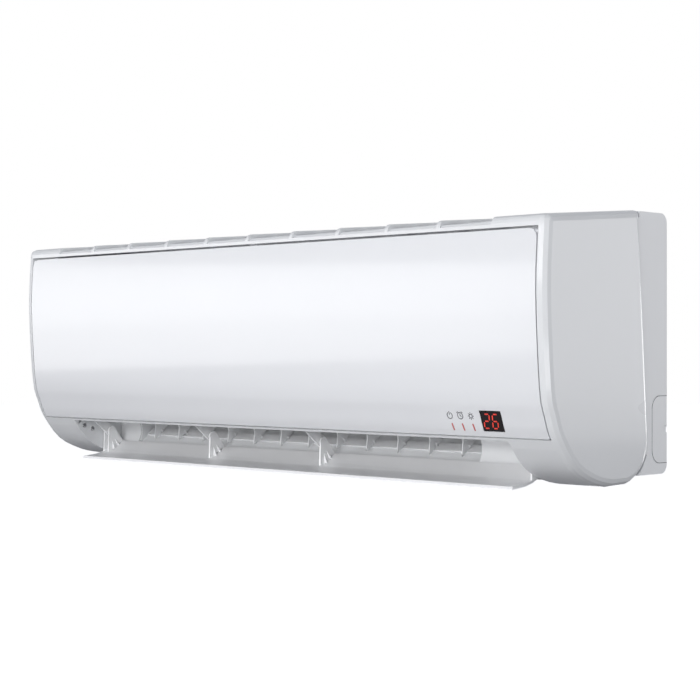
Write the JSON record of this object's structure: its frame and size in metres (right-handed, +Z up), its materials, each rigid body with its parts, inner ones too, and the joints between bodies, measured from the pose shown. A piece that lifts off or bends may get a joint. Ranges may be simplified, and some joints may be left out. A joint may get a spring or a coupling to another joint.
{
  "type": "air conditioner indoor unit",
  "caption": "Wall-hung split indoor unit: curved hinged front panel, intake grille on top, cross-flow fan behind a folded coil, air flap and vanes in the outlet.",
  "frame": {"origin": "middle of the wall plate, on its wall side", "axes": "+X to the right as one faces the unit, +Y into the wall, +Z up"},
  "size_m": [0.855, 0.208, 0.2822],
  "materials": {
    "panel_white": "polished glossy white",
    "bright_steel": "bright",
    "galvanised_steel": "galvanised sheet",
    "fin_aluminium": "thin bare fins",
    "circuit_board": "printed board",
    "inner_plastic": "moulded, satin",
    "dark_plastic": "moulded black",
    "display_black": "polished smoked window",
    "casing_white": "moulded, glossy silver white",
    "black_rubber": "moulded",
    "filter_net": "fine net in a plastic frame"
  },
  "bodies": {
    "housing": {"rear_chassis": "inner_plastic", "front_casing": "casing_white", "wall_plate": "galvanised_steel", "drain_tray": "inner_plastic", "knockout_cover_left": "inner_plastic", "knockout_cover_right": "inner_plastic", "coil_front_lower": "fin_aluminium", "coil_front_upper": "fin_aluminium", "coil_rear": "fin_aluminium", "coil_end_plate_left": "galvanised_steel", "coil_end_plate_right": "galvanised_steel", "fan_motor": "inner_plastic", "motor_clamp": "galvanised_steel", "fan_bearing": "black_rubber", "control_box": "inner_plastic", "control_box_cover": "inner_plastic", "control_board": "circuit_board", "terminal_block": "dark_plastic", "room_sensor": "inner_plastic", "flap_motor": "bright_steel", "display_board": "circuit_board", "vane_strip": "inner_plastic", "cover_screw_1": "bright_steel", "cover_screw_2": "bright_steel", "cover_screw_3": "bright_steel", "cover_screw_4": "bright_steel", "flap_bracket_1": "inner_plastic", "flap_bracket_2": "inner_plastic", "flap_bracket_3": "inner_plastic"},
    "panel": {"front_panel": "panel_white", "display_lens": "display_black"},
    "flap": {"air_flap": "panel_white"},
    "fan": {"cross_flow_fan": "dark_plastic", "bearing_stub": "bright_steel", "motor_shaft": "bright_steel"},
    "vane_01": {"vane_01": "inner_plastic"},
    "vane_02": {"vane_02": "inner_plastic"},
    "vane_03": {"vane_03": "inner_plastic"},
    "vane_04": {"vane_04": "inner_plastic"},
    "vane_05": {"vane_05": "inner_plastic"},
    "vane_06": {"vane_06": "inner_plastic"},
    "vane_07": {"vane_07": "inner_plastic"},
    "vane_08": {"vane_08": "inner_plastic"},
    "vane_09": {"vane_09": "inner_plastic"},
    "vane_10": {"vane_10": "inner_plastic"},
    "vane_11": {"vane_11": "inner_plastic"},
    "vane_12": {"vane_12": "inner_plastic"},
    "link_left": {"vane_link_left": "inner_plastic"},
    "link_right": {"vane_link_right": "inner_plastic"},
    "filter_left": {"filter_left": "filter_net"},
    "filter_right": {"filter_right": "filter_net"},
    "button": {"emergency_button": "casing_white"}
  },
  "joints": [
    {"name": "panel_hinge", "type": "hinge", "parent": "housing", "child": "panel", "pos_m": [0, -0.2012, 0.0763], "axis": [-1, 0, 0], "range_deg": [0, 60]},
    {"name": "flap_hinge", "type": "hinge", "parent": "housing", "child": "flap", "pos_m": [0, -0.1312, -0.1427], "axis": [1, 0, 0], "range_deg": [-56.5, 14]},
    {"name": "fan_spin", "type": "hinge", "parent": "housing", "child": "fan", "pos_m": [0, -0.098, -0.057], "axis": [1, 0, 0], "continuous": true},
    {"name": "vane_01_hinge", "type": "hinge", "parent": "housing", "child": "vane_01", "pos_m": [-0.28775, -0.0905, -0.1453], "axis": [0, -0.6428, 0.766], "range_deg": [-30, 30]},
    {"name": "vane_02_hinge", "type": "hinge", "parent": "housing", "child": "vane_02", "pos_m": [-0.24025, -0.0905, -0.1453], "axis": [0, -0.6428, 0.766], "range_deg": [-30, 30]},
    {"name": "vane_03_hinge", "type": "hinge", "parent": "housing", "child": "vane_03", "pos_m": [-0.19275, -0.0905, -0.1453], "axis": [0, -0.6428, 0.766], "range_deg": [-30, 30]},
    {"name": "vane_04_hinge", "type": "hinge", "parent": "housing", "child": "vane_04", "pos_m": [-0.14525, -0.0905, -0.1453], "axis": [0, -0.6428, 0.766], "range_deg": [-30, 30]},
    {"name": "vane_05_hinge", "type": "hinge", "parent": "housing", "child": "vane_05", "pos_m": [-0.09775, -0.0905, -0.1453], "axis": [0, -0.6428, 0.766], "range_deg": [-30, 30]},
    {"name": "vane_06_hinge", "type": "hinge", "parent": "housing", "child": "vane_06", "pos_m": [-0.05025, -0.0905, -0.1453], "axis": [0, -0.6428, 0.766], "range_deg": [-30, 30]},
    {"name": "link_left_slide", "type": "slide", "parent": "housing", "child": "link_left", "axis": [-1, 0, 0], "range_m": [-0.00581, 0.00581]},
    {"name": "vane_07_hinge", "type": "hinge", "parent": "housing", "child": "vane_07", "pos_m": [-0.00275, -0.0905, -0.1453], "axis": [0, -0.6428, 0.766], "range_deg": [-30, 30]},
    {"name": "vane_08_hinge", "type": "hinge", "parent": "housing", "child": "vane_08", "pos_m": [0.04475, -0.0905, -0.1453], "axis": [0, -0.6428, 0.766], "range_deg": [-30, 30]},
    {"name": "vane_09_hinge", "type": "hinge", "parent": "housing", "child": "vane_09", "pos_m": [0.09225, -0.0905, -0.1453], "axis": [0, -0.6428, 0.766], "range_deg": [-30, 30]},
    {"name": "vane_10_hinge", "type": "hinge", "parent": "housing", "child": "vane_10", "pos_m": [0.13975, -0.0905, -0.1453], "axis": [0, -0.6428, 0.766], "range_deg": [-30, 30]},
    {"name": "vane_11_hinge", "type": "hinge", "parent": "housing", "child": "vane_11", "pos_m": [0.18725, -0.0905, -0.1453], "axis": [0, -0.6428, 0.766], "range_deg": [-30, 30]},
    {"name": "vane_12_hinge", "type": "hinge", "parent": "housing", "child": "vane_12", "pos_m": [0.23475, -0.0905, -0.1453], "axis": [0, -0.6428, 0.766], "range_deg": [-30, 30]},
    {"name": "link_right_slide", "type": "slide", "parent": "housing", "child": "link_right", "axis": [-1, 0, 0], "range_m": [-0.00581, 0.00581]},
    {"name": "filter_left_slide", "type": "slide", "parent": "housing", "child": "filter_left", "axis": [0, 0, 1], "range_m": [0, 0.004]},
    {"name": "filter_right_slide", "type": "slide", "parent": "housing", "child": "filter_right", "axis": [0, 0, 1], "range_m": [0, 0.004]},
    {"name": "button_press", "type": "slide", "parent": "housing", "child": "button", "axis": [0, 1, 0], "range_m": [0, 0.0015], "stiffness_N_per_m": 300, "springref_m": -0.002}
  ],
  "couplings": [
    {"joint": "vane_02_hinge", "follows": "vane_01_hinge", "ratio": 1},
    {"joint": "vane_03_hinge", "follows": "vane_01_hinge", "ratio": 1},
    {"joint": "vane_04_hinge", "follows": "vane_01_hinge", "ratio": 1},
    {"joint": "vane_05_hinge", "follows": "vane_01_hinge", "ratio": 1},
    {"joint": "vane_06_hinge", "follows": "vane_01_hinge", "ratio": 1},
    {"joint": "link_left_slide", "follows": "vane_01_hinge", "m_per_rad": 0.011},
    {"joint": "vane_08_hinge", "follows": "vane_07_hinge", "ratio": 1},
    {"joint": "vane_09_hinge", "follows": "vane_07_hinge", "ratio": 1},
    {"joint": "vane_10_hinge", "follows": "vane_07_hinge", "ratio": 1},
    {"joint": "vane_11_hinge", "follows": "vane_07_hinge", "ratio": 1},
    {"joint": "vane_12_hinge", "follows": "vane_07_hinge", "ratio": 1},
    {"joint": "link_right_slide", "follows": "vane_07_hinge", "m_per_rad": 0.011}
  ]
}
